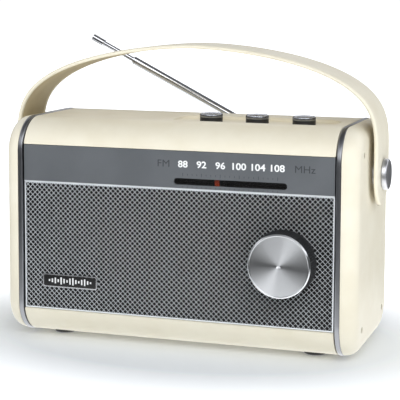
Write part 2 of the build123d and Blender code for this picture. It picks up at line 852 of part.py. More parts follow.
def build():
    os.makedirs("parts", exist_ok=True)
    save("cabinet_sleeve", cabinet_sleeve())
    pairs = {
        "trim_band": right_trim_band(),
        "end_cap": right_end_cap(),
        "handle_pivot": right_handle_pivot(),
    }
    for name, solid in pairs.items():
        save(f"right_{name}", solid)
        save(f"left_{name}", mirrored(solid))
    save("cap_screws", cap_screws())
    save("rubber_feet", rubber_feet())
    save("front_baffle", front_baffle())
    save("dial_panel", dial_panel())
    save("dial_window", dial_window())
    save("speaker_grille", grille_area(grille_front, grille_front + 0.8))
    save("grille_cloth", grille_area(grille_front + 0.8, baffle_front))
    save("badge_plate", badge_plate())
    save("badge_rim", badge_rim())
    save("tuning_knob_base", tuning_knob_base())
    save("tuning_knob_face", tuning_knob_face())
    save("tuning_shaft", tuning_shaft())
    save("dial_drum", dial_drum())
    save("dial_cord", dial_cord())
    save("pointer_rail", pointer_rail())
    save("dial_pointer", dial_pointer())
    save("tuning_capacitor", tuning_capacitor())
    for name, x in control_xs.items():
        save(f"{name}_control", control_body(x))
        save(f"{name}_shaft", control_shaft(x))
        save(f"{name}_knob", control_knob(x))
        save(f"{name}_knob_cap", control_cap(x))
    save("speaker_frame", speaker_frame())
    save("speaker_magnet", speaker_magnet())
    save("speaker_cone", speaker_cone())
    save("speaker_dust_cap", speaker_dust_cap())
    save("main_board", main_board())
    save("board_components", board_components())
    save("mains_transformer", mains_transformer())
    save("headphone_jack", headphone_jack())
    save("mains_inlet", mains_inlet())
    save("wiring", wiring())
    save("rear_cover", rear_cover())
    save("cover_screws", cover_screws())
    save("battery_door", battery_door())
    save("battery_cells", battery_cells())
    save("battery_contacts", battery_contacts())
    save("antenna_mount", antenna_mount())
    save("antenna_swivel", antenna_swivel())
    save("antenna_tube_1", antenna_tube_1())
    save("antenna_tube_2", antenna_section(13, tube_mouth + 0.4, 2.85, 2.45))
    save("antenna_tube_3", antenna_section(15, tube_mouth + 0.7, 2.4, 2.05))
    save("antenna_rod", antenna_rod())
    save("handle_strap", handle_layer(0, 1.2, handle_width))
    save("handle_core", handle_layer(1.23, 1.97, handle_width - 2))
    save("handle_lining", handle_layer(2.0, handle_thickness, handle_width))


build()
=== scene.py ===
import json
import math

import bmesh
import bpy
from mathutils import Matrix, Vector


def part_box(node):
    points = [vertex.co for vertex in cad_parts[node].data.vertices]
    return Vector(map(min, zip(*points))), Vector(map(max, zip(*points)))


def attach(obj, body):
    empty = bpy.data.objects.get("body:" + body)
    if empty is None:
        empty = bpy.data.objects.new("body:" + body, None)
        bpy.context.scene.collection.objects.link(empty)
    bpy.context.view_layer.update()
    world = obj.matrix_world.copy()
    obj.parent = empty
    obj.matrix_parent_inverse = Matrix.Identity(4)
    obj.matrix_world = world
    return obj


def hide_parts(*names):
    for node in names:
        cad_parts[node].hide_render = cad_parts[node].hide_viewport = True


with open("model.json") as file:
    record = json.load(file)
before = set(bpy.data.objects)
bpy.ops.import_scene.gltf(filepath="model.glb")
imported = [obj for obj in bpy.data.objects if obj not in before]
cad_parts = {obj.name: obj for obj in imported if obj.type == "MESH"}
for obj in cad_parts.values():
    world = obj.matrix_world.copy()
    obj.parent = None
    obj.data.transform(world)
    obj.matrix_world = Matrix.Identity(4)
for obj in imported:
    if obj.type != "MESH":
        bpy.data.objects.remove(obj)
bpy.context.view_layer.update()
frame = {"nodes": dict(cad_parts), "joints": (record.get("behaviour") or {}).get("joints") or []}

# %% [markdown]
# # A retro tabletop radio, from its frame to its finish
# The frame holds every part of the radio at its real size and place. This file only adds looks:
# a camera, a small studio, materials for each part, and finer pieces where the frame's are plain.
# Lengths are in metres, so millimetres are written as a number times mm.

mm = 0.001
nodes = frame["nodes"]

# %% [markdown]
# ## Where things are
# Places come from the frame's own boxes, so a change of the frame carries through. Two of them
# are used again and again: the middle of the case and the middle of the tuning knob.


# %% Places worked out from the frame
def low(name):
    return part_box(name)[0]


def high(name):
    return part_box(name)[1]


def middle(name):
    return (low(name) + high(name)) / 2


case_middle = middle("cabinet_sleeve")
case_middle.y = (low("right_end_cap").y + high("right_end_cap").y) / 2
knob_centre = middle("tuning_knob_face")
print("case middle", [round(v, 4) for v in case_middle])

# %% [markdown]
# ## The camera
# A long lens about a metre away keeps the case's edges nearly parallel, as in a catalogue.
# The camera stands a little to the right and looks slightly down. Its shift moves the view
# down the sensor, as a view camera does, so that upright edges stay nearly upright.

# %% Camera
turn = math.radians(18.32)
tilt = math.radians(5.63)
roll = math.radians(0.21)
distance = 1.076
aim = Vector((0.0008, case_middle.y, 0.173))
sight = Vector((-math.sin(turn) * math.cos(tilt), math.cos(turn) * math.cos(tilt), -math.sin(tilt)))
camera_data = bpy.data.cameras.new("camera")
camera_data.sensor_width = 36
camera_data.lens = 121.4
camera_data.shift_y = -0.2
camera_data.clip_start = 0.05
camera = bpy.data.objects.new("camera", camera_data)
camera.location = aim - sight * distance
level = sight.to_track_quat("-Z", "Y")
camera.rotation_euler = (level @ Matrix.Rotation(roll, 3, "Z").to_quaternion()).to_euler()
bpy.context.scene.collection.objects.link(camera)
bpy.context.scene.camera = camera
print("camera stands at", [round(v, 3) for v in camera.location])

# %% [markdown]
# ## Colours and nodes
# Colours are chosen as sRGB hex values, the way a paint card gives them, and one function turns
# them into the linear values that the shader needs. One more function adds a node with its
# settings and its links, so each material below reads as a short list.


# %% Colour and node helpers
def linear(code):
    """An sRGB hex colour as linear red, green and blue, and full alpha."""
    parts = [int(code[i : i + 2], 16) / 255 for i in (1, 3, 5)]
    return tuple(p / 12.92 if p <= 0.04045 else ((p + 0.055) / 1.055) ** 2.4 for p in parts) + (1.0,)


def add(tree, kind, settings=(), **links):
    """Add a node: settings are its properties and input values, links are sockets that feed it."""
    node = tree.nodes.new(kind)
    for name, value in dict(settings).items():
        if isinstance(name, str) and hasattr(node, name):
            setattr(node, name, value)
        else:
            node.inputs[name].default_value = value
    for name, source in links.items():
        key = int(name[1:]) if name[0] == "_" else name.replace("_", " ")
        tree.links.new(source, node.inputs[key])
    return node


def surface(name, colour, **settings):
    """A new material with a Principled shader: gives its tree and the shader."""
    material = bpy.data.materials.new(name)
    material.use_nodes = True
    tree = material.node_tree
    shader = tree.nodes["Principled BSDF"]
    shader.inputs["Base Color"].default_value = linear(colour)
    for key, value in settings.items():
        shader.inputs[key.replace("_", " ")].default_value = value
    return material, tree, shader


def mottle(tree, shader, first, second, scale):
    """Let the colour wander between two near shades, in patches of a given size."""
    where = add(tree, "ShaderNodeTexCoord").outputs["Object"]
    patches = add(tree, "ShaderNodeTexNoise", {"Scale": 1 / scale, "Detail": 4.0}, Vector=where)
    ramp = add(tree, "ShaderNodeValToRGB", {}, Fac=patches.outputs["Fac"])
    for stop, position, shade in zip(ramp.color_ramp.elements, (0.35, 0.65), (first, second)):
        stop.position = position
        stop.color = linear(shade)
    tree.links.new(ramp.outputs["Color"], shader.inputs["Base Color"])
    return where, patches


def relief(tree, shader, height, depth, strength=1.0):
    """Raise the surface by a height pattern; depth is the real height in metres."""
    bump = add(tree, "ShaderNodeBump", {"Strength": strength, "Distance": depth}, Height=height)
    tree.links.new(bump.outputs["Normal"], shader.inputs["Normal"])


def gloss(tree, shader, fac, smooth, rough):
    """Let the roughness wander between two values."""
    spread = add(tree, "ShaderNodeMapRange", {"To Min": smooth, "To Max": rough}, Value=fac)
    tree.links.new(spread.outputs["Result"], shader.inputs["Roughness"])


# %% [markdown]
# ## Leatherette
# The case is wrapped in leatherette: a woven backing with a skin of soft PVC, embossed by a
# roller with a fine grain. It shows as a satin cream with tiny pebbles about half a millimetre
# wide, and slow changes of shade where the skin is thicker or has been handled.


# %% Leatherette
def leatherette(name, light, dark, pebble=0.55 * mm):
    material, tree, shader = surface(name, light, Roughness=0.46, IOR=1.5)
    where, _ = mottle(tree, shader, dark, light, 26 * mm)
    pebbles = add(tree, "ShaderNodeTexVoronoi", {"Scale": 1 / pebble, "Randomness": 0.9}, Vector=where)
    creases = add(tree, "ShaderNodeTexNoise", {"Scale": 1 / (1.6 * mm), "Detail": 6.0}, Vector=where)
    height = add(tree, "ShaderNodeMath", {"operation": "MULTIPLY_ADD", 1: 0.7},
                 _0=pebbles.outputs["Distance"], _2=creases.outputs["Fac"])
    relief(tree, shader, height.outputs[0], 0.035 * mm, 0.45)
    gloss(tree, shader, creases.outputs["Fac"], 0.40, 0.56)
    return material


cream = leatherette("cream_leatherette", "#EFE9D6", "#EAE3CE")
# The lining is a darker tan than the cover; that darker tone is painted shade for the handle's
# underside.
lining_leatherette_with_painted_shade = leatherette("lining_leatherette_darkened_as_painted_shade", "#C9BC9C", "#BDAF8E", pebble=0.8 * mm)
print("leatherettes:", cream.name, lining_leatherette_with_painted_shade.name)

# %% [markdown]
# ## Metals
# Gunmetal lacquer over an aluminium sheet gives the dial its satin grey. The trim bands are
# brushed and lacquered aluminium strip. The grille is nickel-plated steel under a thin dull
# lacquer, so its bars are only partly metallic and stay pale from every side; that paleness is
# partly a painted sheen that stands in for the glints on the bars. Chrome plate is nearly a
# mirror, with faint smears that break up its reflections. The pivots have a satin chrome, and
# the top knobs' caps a darker one, which shows their ribs better; the darker colour is painted
# shade for the dark surroundings seen in their reflections.


# %% Metal finishes
def brushed_metal(name, light, dark, rough, metallic=1.0, grain=(2, 2, 300)):
    """Metal with fine parallel scratches; grain is how often they repeat per metre, by axis."""
    material, tree, shader = surface(name, light, Metallic=metallic, Roughness=rough)
    where, _ = mottle(tree, shader, dark, light, 40 * mm)
    stretched = add(tree, "ShaderNodeMapping", {"Scale": grain}, Vector=where)
    scratches = add(tree, "ShaderNodeTexNoise", {"Scale": 6.0, "Detail": 8.0},
                    Vector=stretched.outputs["Vector"])
    gloss(tree, shader, scratches.outputs["Fac"], rough - 0.08, rough + 0.08)
    relief(tree, shader, scratches.outputs["Fac"], 0.01 * mm, 0.25)
    return material


def smeared_metal(name, colour, rough, metallic=1.0):
    """Polished metal with faint finger smears, each about 9 mm wide."""
    material, tree, shader = surface(name, colour, Metallic=metallic, Roughness=rough)
    where = add(tree, "ShaderNodeTexCoord").outputs["Object"]
    smears = add(tree, "ShaderNodeTexNoise", {"Scale": 1 / (9 * mm), "Detail": 5.0}, Vector=where)
    gloss(tree, shader, smears.outputs["Fac"], rough * 0.6, rough * 1.9)
    relief(tree, shader, smears.outputs["Fac"], 0.004 * mm, 0.3)
    return material


gunmetal = brushed_metal("gunmetal_lacquered_aluminium", "#717579", "#696D71", 0.44, 0.35, (300, 2, 2))
trim = brushed_metal("brushed_aluminium_trim", "#86888C", "#7C7E82", 0.36, 1.0, (400, 4, 4))
# The nickel's pale, half-metallic colour is partly a painted sheen, standing in for the glints on the
# bars.
nickel_with_painted_sheen = smeared_metal("nickel_plated_steel_with_painted_sheen", "#E6EAED", 0.42, 0.45)
chrome = smeared_metal("chrome_plate", "#D2D4D8", 0.12)
satin_chrome = smeared_metal("satin_chrome_plate", "#C4C6CA", 0.34)
# These caps' darker chrome colour is painted shade for the dark surroundings seen in their reflections.
darkened_chrome_painted_shade = smeared_metal("chrome_plate_darkened_as_painted_shade", "#989BA1", 0.2)
steel = brushed_metal("drawn_steel", "#A7A9AB", "#9C9EA0", 0.35)
metals = (gunmetal, trim, nickel_with_painted_sheen, chrome, satin_chrome, darkened_chrome_painted_shade, steel)
print("metals:", ", ".join(metal.name for metal in metals))

# %% [markdown]
# ## Plastics, rubber and cloth
# Moulded ABS takes the fine spark texture of its mould, which shows as a soft sheen. Rubber is
# dull and slightly dusty. The acoustic cloth behind the grille is black and drinks the light.


# %% Plastics, rubber and cloth
def moulded(name, light, dark, rough, grit=0.35 * mm, depth=0.02 * mm):
    """Moulded plastic with the fine texture of its mould."""
    material, tree, shader = surface(name, light, Roughness=rough, IOR=1.53)
    where, patches = mottle(tree, shader, dark, light, 18 * mm)
    sparks = add(tree, "ShaderNodeTexNoise", {"Scale": 1 / grit, "Detail": 3.0}, Vector=where)
    relief(tree, shader, sparks.outputs["Fac"], depth, 0.5)
    gloss(tree, shader, patches.outputs["Fac"], rough - 0.06, rough + 0.08)
    return material


def woven(name, light, dark):
    """Plain cloth: two sets of threads, 0.4 mm apart, cross over and under each other."""
    material, tree, shader = surface(name, light, Roughness=0.9)
    where = add(tree, "ShaderNodeTexCoord").outputs["Object"]
    size = {"Scale": 0.16 / (0.4 * mm), "wave_profile": "SIN"}
    warp = add(tree, "ShaderNodeTexWave", {**size, "bands_direction": "X"}, Vector=where)
    weft = add(tree, "ShaderNodeTexWave", {**size, "bands_direction": "Z"}, Vector=where)
    cross = add(tree, "ShaderNodeMath", {"operation": "MULTIPLY"},
                _0=warp.outputs["Fac"], _1=weft.outputs["Fac"])
    blend = add(tree, "ShaderNodeMix", {"data_type": "RGBA", 6: linear(dark), 7: linear(light)},
                _0=cross.outputs[0])
    tree.links.new(blend.outputs[2], shader.inputs["Base Color"])
    relief(tree, shader, cross.outputs[0], 0.1 * mm, 0.6)
    return material


black_abs = moulded("black_abs", "#1B1C1E", "#161719", 0.42)
charcoal_abs = moulded("charcoal_abs", "#2B2C2E", "#252628", 0.5, 0.6 * mm, 0.04 * mm)
gloss_black = moulded("black_enamel", "#0D0E10", "#0A0B0D", 0.18, 2 * mm, 0.004 * mm)
rubber = moulded("black_rubber", "#1A1A1A", "#232322", 0.75, 0.8 * mm)
nylon = moulded("white_nylon", "#D8D6CC", "#CFCDC2", 0.45)
laminate = moulded("green_board_laminate", "#2E6B3E", "#28603A", 0.4)
cans = moulded("sleeved_component_cans", "#2A3350", "#222A44", 0.35)
ferrite = moulded("sintered_ferrite", "#2B2C2E", "#222325", 0.6, 0.5 * mm, 0.05 * mm)
paper_cone = moulded("pressed_paper_cone", "#26241F", "#1D1C18", 0.85, 1.2 * mm, 0.12 * mm)
cell_label = moulded("printed_cell_label", "#2B4B6A", "#243F5C", 0.3)
lead_pvc = moulded("red_lead_pvc", "#8E2018", "#7C1A14", 0.5)
brass = smeared_metal("nickelled_brass", "#B9A46A", 0.28)
black_steel = moulded("blackened_steel_screw", "#1D1D1E", "#262626", 0.38)
cloth = woven("black_acoustic_cloth", "#070707", "#020202")
print(len(bpy.data.materials), "materials so far")


# %% [markdown]
# The dial window is clear acrylic. It is thin, so a mostly clear shader with a little gloss
# is enough, and the pointer shows through it.


# %% Clear acrylic
def acrylic():
    material, tree, shader = surface("clear_acrylic", "#FFFFFF", Roughness=0.06, IOR=1.49,
                                     Transmission_Weight=1.0, Specular_IOR_Level=0.3)
    where = add(tree, "ShaderNodeTexCoord").outputs["Object"]
    dust = add(tree, "ShaderNodeTexNoise", {"Scale": 1 / (3 * mm), "Detail": 4.0}, Vector=where)
    gloss(tree, shader, dust.outputs["Fac"], 0.03, 0.10)
    return material


clear = acrylic()
print("window of", clear.name)


# %% [markdown]
# The pointer is one black moulding, and only the front of its blade is painted orange. The paint
# stops a little behind the front, so the colour changes with depth from front to back.


# %% Painted pointer
def painted_blade(paint_ends):
    material, tree, shader = surface("pointer_abs_with_orange_paint", "#C23A12",
                                     Roughness=0.35, IOR=1.53)
    where = add(tree, "ShaderNodeTexCoord").outputs["Object"]
    depth = add(tree, "ShaderNodeSeparateXYZ", {}, Vector=where)
    behind = add(tree, "ShaderNodeMath", {"operation": "GREATER_THAN", 1: paint_ends},
                 _0=depth.outputs["Y"])
    patches = add(tree, "ShaderNodeTexNoise", {"Scale": 1 / (2 * mm), "Detail": 3.0}, Vector=where)
    orange = {"data_type": "RGBA", 6: linear("#E0561F"), 7: linear("#C4380F")}
    paint = add(tree, "ShaderNodeMix", orange, _0=patches.outputs["Fac"])
    both = add(tree, "ShaderNodeMix", {"data_type": "RGBA", 7: linear("#151517")},
               _0=behind.outputs[0], _6=paint.outputs[2])
    tree.links.new(both.outputs[2], shader.inputs["Base Color"])
    return material


paint_depth = 2.6 * mm
pointer_paint = painted_blade(low("dial_pointer").y + paint_depth)
print("paint stops at y", round(low("dial_pointer").y + paint_depth, 4))


# %% [markdown]
# ## Spun aluminium
# The tuning knob's face was turned on a lathe, and the tool left thousands of circular grooves.
# They spread each highlight across the groove, so light gathers into two bright fans that meet
# at the centre. The shader does the same when it is told which way light is spread: straight out
# from the knob's axis, across the grooves. The real grooves are finer than the half millimetre
# used here, which is as fine as the view can show.


# %% Spun aluminium
def spun_aluminium(centre):
    material, tree, shader = surface("spun_aluminium", "#CDD0D3", Metallic=1.0, Roughness=0.3,
                                     Anisotropic=0.97)
    where = add(tree, "ShaderNodeTexCoord").outputs["Object"]
    arm = add(tree, "ShaderNodeVectorMath", {"operation": "SUBTRACT", 1: centre}, _0=where)
    flat = add(tree, "ShaderNodeVectorMath", {"operation": "MULTIPLY", 1: (1, 0, 1)},
               _0=arm.outputs[0])
    tree.links.new(flat.outputs[0], shader.inputs["Tangent"])
    radius = add(tree, "ShaderNodeVectorMath", {"operation": "LENGTH"}, _0=flat.outputs[0])
    rings = {"noise_dimensions": "1D", "Scale": 1 / (0.5 * mm), "Detail": 6.0}
    grooves = add(tree, "ShaderNodeTexNoise", rings, W=radius.outputs["Value"])
    relief(tree, shader, grooves.outputs["Fac"], 0.012 * mm, 0.6)
    gloss(tree, shader, grooves.outputs["Fac"], 0.25, 0.36)
    return material


spun = spun_aluminium(knob_centre)
print("grooves run round", [round(v, 4) for v in knob_centre])

# %% [markdown]
# ## Dressing the frame
# Most of the frame's nodes already have the right shape, so they only need their finish.
# One table says which node gets which material.

# %% Materials of the frame's nodes
finishes = {
    cream: ["cabinet_sleeve", "left_end_cap", "right_end_cap", "handle_strap"],
    lining_leatherette_with_painted_shade: ["handle_lining"],
    trim: ["left_trim_band", "right_trim_band"],
    gunmetal: ["dial_panel"],
    nickel_with_painted_sheen: ["speaker_grille"],
    cloth: ["grille_cloth"],
    chrome: ["badge_rim", "antenna_swivel", "antenna_tube_1", "antenna_tube_2", "antenna_tube_3",
             "antenna_rod", "volume_knob_cap", "tone_knob_cap", "band_knob_cap"],
    satin_chrome: ["left_handle_pivot", "right_handle_pivot"],
    steel: ["tuning_shaft", "speaker_frame", "antenna_mount", "handle_core",
            "volume_shaft", "tone_shaft", "band_shaft", "mains_transformer"],
    black_abs: ["front_baffle", "tuning_knob_base", "headphone_jack", "mains_inlet", "volume_knob",
                "tone_knob", "band_knob", "volume_control", "tone_control", "band_control"],
    charcoal_abs: ["rear_cover", "battery_door"],
    gloss_black: ["badge_plate"],
    rubber: ["rubber_feet"],
    pointer_paint: ["dial_pointer"],
    nylon: ["dial_drum", "tuning_capacitor", "dial_cord"],
    laminate: ["main_board"],
    cans: ["board_components"],
    ferrite: ["speaker_magnet"],
    paper_cone: ["speaker_cone", "speaker_dust_cap"],
    cell_label: ["battery_cells"],
    lead_pvc: ["wiring"],
    brass: ["battery_contacts"],
    black_steel: ["cap_screws", "cover_screws", "pointer_rail"],
    clear: ["dial_window"],
    spun: ["tuning_knob_face"],
}
for finish, names in finishes.items():
    for name in names:
        nodes[name].data.materials.clear()
        nodes[name].data.materials.append(finish)
undressed = set(nodes) - {name for names in finishes.values() for name in names}
print("nodes without a finish:", sorted(undressed))


# %% [markdown]
# ## Making pieces
# Every new piece is a mesh with its place in its own points, riding on one body of the frame.
# Two small makers cover most shapes: one wraps up points and faces, and one turns a profile
# about a line, which is how a lathe makes knobs, feet and tips.


# %% Piece makers
def piece(name, points, faces, material, body, smooth_angle=35):
    """A mesh piece on a body, with outward faces and smooth shading below an angle."""
    mesh = bpy.data.meshes.new(name)
    mesh.from_pydata([tuple(p) for p in points], [], faces)
    made = bmesh.new()
    made.from_mesh(mesh)
    bmesh.ops.remove_doubles(made, verts=made.verts, dist=0.002 * mm)
    bmesh.ops.recalc_face_normals(made, faces=made.faces)
    made.to_mesh(mesh)
    made.free()
    return settle(name, mesh, material, body, smooth_angle)


def settle(name, mesh, material, body, smooth_angle=35):
    """Put a finished mesh into the scene and tie it to its body."""
    mesh.materials.clear()
    mesh.materials.append(material)
    made = bpy.data.objects.new(name, mesh)
    bpy.context.scene.collection.objects.link(made)
    mesh.shade_smooth()
    mesh.set_sharp_from_angle(angle=math.radians(smooth_angle))
    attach(made, body)
    print(name, len(mesh.polygons), "faces")
    return made


def turned(name, profile, place, material, body, steps=96, smooth_angle=35, ripple=None):
    """Turn a profile of (radius, height) about a local axis; place is the matrix that seats it."""
    points = []
    faces = []
    for step in range(steps):
        angle = 2 * math.pi * step / steps
        for index, (radius, height) in enumerate(profile):
            grown = radius + (ripple(step, index) if ripple and radius > 0 else 0)
            points.append(place @ Vector((grown * math.cos(angle), grown * math.sin(angle), height)))
    count = len(profile)
    for step in range(steps):
        after = (step + 1) % steps
        for index in range(count - 1):
            a, b = step * count + index, step * count + index + 1
            c, d = after * count + index + 1, after * count + index
            faces.append((a, b, c, d))
    return piece(name, points, faces, material, body, smooth_angle)


def facing(direction, origin):
    """A matrix that lays the local Z axis along a direction, at an origin."""
    turned_axis = Vector(direction).to_track_quat("Z", "Y").to_matrix().to_4x4()
    return Matrix.Translation(origin) @ turned_axis


# %% [markdown]
# ## The studio
# A pale table, one large soft light high in front and a weak one to the right are all that a
# product needs. The table glows more the farther it is from the radio, as a lit backdrop does, so
# only the contact shadow shows on it. Black flags stand round a product studio so that polished
# metal shows dark bands beside its highlights. Here reflections alone see them: for reflected
# rays most of the surroundings are dark, with one pale strip overhead, and the table shows a
# painted reflection, a glow that is bright near the radio and dark farther off.


# %% Floor, surroundings and lights
def floor_material():
    material, tree, shader = surface("pale_table", "#E9EDF0", Roughness=0.7)
    where = add(tree, "ShaderNodeTexCoord").outputs["Object"]
    oval = add(tree, "ShaderNodeVectorMath", {"operation": "MULTIPLY", 1: (1.0, 1.5, 1.0)}, _0=where)
    reach = add(tree, "ShaderNodeVectorMath", {"operation": "LENGTH"}, _0=oval.outputs[0])
    rise = {"From Min": 0.16, "From Max": 0.36, "To Min": 0.10, "To Max": 1.05}
    glow = add(tree, "ShaderNodeMapRange", rise, Value=reach.outputs["Value"])
    shader.inputs["Emission Color"].default_value = (1, 1, 1, 1)
    tree.links.new(glow.outputs["Result"], shader.inputs["Emission Strength"])
    # For reflected rays the table is a painted reflection: it glows brightly near the radio and goes
    # dark farther off.
    fall = {"From Min": 0.26, "From Max": 0.46, "To Min": 2.2, "To Max": 0.10}
    far = add(tree, "ShaderNodeMapRange", fall, Value=reach.outputs["Value"])
    rays = add(tree, "ShaderNodeLightPath")
    painted_floor_reflection = add(tree, "ShaderNodeEmission", {}, Strength=far.outputs["Result"])
    shown = add(tree, "ShaderNodeMixShader", {}, _0=rays.outputs["Is Glossy Ray"],
                _1=shader.outputs[0], _2=painted_floor_reflection.outputs[0])
    tree.links.new(shown.outputs[0], tree.nodes["Material Output"].inputs["Surface"])
    material.cycles.emission_sampling = "NONE"
    return material


def studio_floor(half=6.0):
    mesh = bpy.data.meshes.new("floor")
    corners = [(-half, -half, 0), (half, -half, 0), (half, half, 0), (-half, half, 0)]
    mesh.from_pydata(corners, [], [(0, 1, 2, 3)])
    mesh.materials.append(floor_material())
    floor = bpy.data.objects.new("floor", mesh)
    bpy.context.scene.collection.objects.link(floor)


def surroundings():
    world = bpy.data.worlds.new("studio")
    bpy.context.scene.world = world
    world.use_nodes = True
    world.cycles.sampling_method = "NONE"
    tree = world.node_tree
    tree.nodes.clear()
    rays = add(tree, "ShaderNodeLightPath")
    where = add(tree, "ShaderNodeTexCoord").outputs["Generated"]
    height = add(tree, "ShaderNodeSeparateXYZ", {}, Vector=where)
    ramp = add(tree, "ShaderNodeValToRGB", {}, Fac=height.outputs["Z"])
    ramp.color_ramp.elements[0].color = (0.05, 0.05, 0.055, 1)
    ramp.color_ramp.elements[0].position = 0.10
    ramp.color_ramp.elements[1].color = (0.9, 0.92, 0.95, 1)
    ramp.color_ramp.elements[1].position = 0.65
    brighter_right = {"From Min": -1.0, "From Max": 1.0, "To Min": 0.30, "To Max": 1.05}
    side = add(tree, "ShaderNodeMapRange", brighter_right, Value=height.outputs["X"])
    room = add(tree, "ShaderNodeBackground", {},
               Color=ramp.outputs["Color"], Strength=side.outputs["Result"])
    strip = add(tree, "ShaderNodeValToRGB", {}, Fac=height.outputs["Z"])
    shades = ((0.0, 0.10), (0.26, 0.10), (0.38, 1.9), (0.58, 1.8), (0.70, 0.20), (1.0, 0.14))
    stops = strip.color_ramp.elements
    for index, (stop, shade) in enumerate(shades):
        mark = stops[index] if index < 2 else stops.new(stop)
        mark.position = stop
        mark.color = (shade, shade, shade * 1.03, 1)
    flags = add(tree, "ShaderNodeBackground", {"Strength": 1.0}, Color=strip.outputs["Color"])
    unseen = add(tree, "ShaderNodeMixShader", {}, _0=rays.outputs["Is Glossy Ray"],
                 _1=room.outputs[0], _2=flags.outputs[0])
    white = add(tree, "ShaderNodeBackground", {"Color": (1, 1, 1, 1), "Strength": 1.05})
    chosen = add(tree, "ShaderNodeMixShader", {}, _0=rays.outputs["Is Camera Ray"],
                 _1=unseen.outputs[0], _2=white.outputs[0])
    add(tree, "ShaderNodeOutputWorld", {}, Surface=chosen.outputs[0])


def soft_light(name, place, size, power):
    """A square softbox that looks at the radio."""
    data = bpy.data.lights.new(name, "AREA")
    data.size = size
    data.energy = power
    light = bpy.data.objects.new(name, data)
    light.location = place
    light.rotation_euler = (Vector((0, 0, 0.1)) - Vector(place)).to_track_quat("-Z", "Y").to_euler()
    bpy.context.scene.collection.objects.link(light)
    print(name, "light of", power, "W")


bpy.context.scene.view_settings.view_transform = "Standard"
studio_floor()
surroundings()
soft_light("key", (0.55, -1.70, 1.36), 1.5, 18.5)
soft_light("fill", (1.8, -0.4, 1.2), 1.0, 1.5)

# %% [markdown]
# ## The perforated grille
# The sheet is punched with rows of square holes set on their corners, every second row shifted
# by half a step, and the bars between them are pressed into ridges. One cell of that pattern is
# modelled: four ridge lines around one hole. Geometry Nodes lays thousands of copies on a grid
# turned by 45 degrees, drops those outside the sheet, and squares off the cells at its edges.

# %% One cell of the grille
grille_low, grille_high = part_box("speaker_grille")
half_step = 2.0 * mm
sheet = grille_high.y - grille_low.y
ridge = 0.42 * mm
hole_corner = 1.72 * mm
hole_side = 1.24 * mm


def grille_cell():
    """A diamond of ridges that slopes down to a rounded hole, with the hole's wall and a back."""
    quarters = (0, math.pi / 2, math.pi, -math.pi / 2)
    outer = [(math.cos(a) * half_step, math.sin(a) * half_step) for a in quarters]
    rim = []
    for index, corner in enumerate(outer):
        after = outer[(index + 1) % 4]
        rim.append(corner)
        rim.append(((corner[0] + after[0]) / 2, (corner[1] + after[1]) / 2))
    hole = []
    for index in range(8):
        angle = index * math.pi / 4
        reach = hole_corner if index % 2 == 0 else hole_side
        hole.append((math.cos(angle) * reach, math.sin(angle) * reach))
    points = [(x, 0.0, z) for x, z in rim]
    points += [(x, ridge, z) for x, z in hole]
    points += [(x, sheet, z) for x, z in hole]
    points += [(x, sheet, z) for x, z in rim]
    faces = []
    for ring in range(3):
        for index in range(8):
            after = (index + 1) % 8
            start, next_ring = ring * 8, ring * 8 + 8
            faces.append((start + index, start + after, next_ring + after, next_ring + index))
    mesh = bpy.data.meshes.new("grille_cell")
    mesh.from_pydata(points, [], faces)
    return bpy.data.objects.new("grille_cell", mesh)


cell = grille_cell()
print("grille cell", len(cell.data.polygons), "faces")


# %% [markdown]
# The tree below has named inputs, so the same grille can be cut for another window. Each input
# is a socket of the group, and the modifier is given its value by the socket's identifier.


# %% The grille's tree
def new_tree(name, inputs):
    """An empty Geometry Nodes group with the given named inputs."""
    tree = bpy.data.node_groups.new(name, "GeometryNodeTree")
    tree.interface.new_socket("Geometry", in_out="INPUT", socket_type="NodeSocketGeometry")
    for label, kind in inputs:
        tree.interface.new_socket(label, in_out="INPUT", socket_type=kind)
    tree.interface.new_socket("Geometry", in_out="OUTPUT", socket_type="NodeSocketGeometry")
    return tree, tree.nodes.new("NodeGroupInput"), tree.nodes.new("NodeGroupOutput")


def run_tree(name, tree, values):
    """Run a tree on an empty mesh with its inputs set, and give back the plain mesh."""
    holder = bpy.data.objects.new(name + "_holder", bpy.data.meshes.new(name + "_holder"))
    bpy.context.scene.collection.objects.link(holder)
    modifier = holder.modifiers.new("nodes", "NODES")
    modifier.node_group = tree
    for item in tree.interface.items_tree:
        if item.item_type == "SOCKET" and item.in_out == "INPUT" and item.name in values:
            modifier[item.identifier] = values[item.name]
    graph = bpy.context.evaluated_depsgraph_get()
    mesh = bpy.data.meshes.new_from_object(holder.evaluated_get(graph))
    holder.modifiers.remove(modifier)
    bpy.data.objects.remove(holder)
    mesh.name = name
    return mesh


